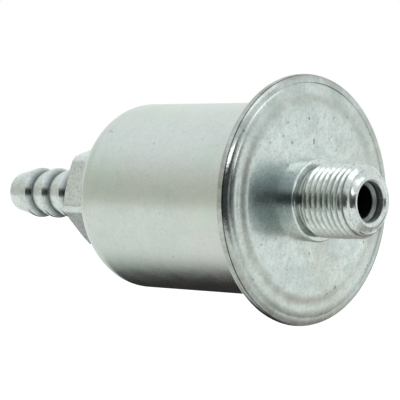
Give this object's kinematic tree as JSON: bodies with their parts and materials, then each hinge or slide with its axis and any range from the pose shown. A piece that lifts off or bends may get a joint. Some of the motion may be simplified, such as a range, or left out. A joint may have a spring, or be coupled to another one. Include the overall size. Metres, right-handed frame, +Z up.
{
  "type": "fuel filter",
  "caption": "In-line metal canister fuel filter: drawn can with hemmed cover, taper-thread outlet nipple, hex with hose barb inlet, and a sprung pleated element inside.",
  "frame": {"origin": "on the filter's axis at the first crest of the outlet thread next to its collar", "axes": "+X along the filter towards the threaded outlet, so fuel flows towards +X; +Z up with the filter lying level; the hexagon has a corner 15 degrees from +Y towards +Z"},
  "size_m": [0.0711, 0.035, 0.035],
  "materials": {
    "can_zinc": "bright zinc plated, satin",
    "cover_zinc": "bright zinc plated, slightly mottled",
    "fitting_zinc": "bright zinc plated, machined",
    "braze": "copper brazing",
    "nitrile": "matte",
    "tinplate": "bright tinplate",
    "spring_steel": "drawn wire",
    "filter_paper": "resin-treated pleated paper",
    "plastisol": "cured potting compound"
  },
  "bodies": {
    "housing": {"housing_can": "can_zinc", "cover_plate": "cover_zinc", "rim_gasket": "nitrile", "outlet_nipple": "fitting_zinc", "outlet_braze_ring": "braze", "inlet_fitting": "fitting_zinc", "inlet_braze_ring": "braze", "spring_seat_washer": "tinplate", "element_spring": "spring_steel"},
    "element": {"closed_end_cap": "tinplate", "closed_end_potting": "plastisol", "pleated_media": "filter_paper", "media_seam_clip": "tinplate", "core_tube": "tinplate", "open_end_potting": "plastisol", "open_end_cap": "tinplate", "outlet_seal_ring": "nitrile"}
  },
  "joints": [
    {"name": "element_lift", "type": "slide", "parent": "housing", "child": "element", "axis": [1, 0, 0], "range_m": [-0.0015, 0], "stiffness_N_per_m": 600, "springref_m": 0.004, "deforming": ["element_spring"]}
  ]
}
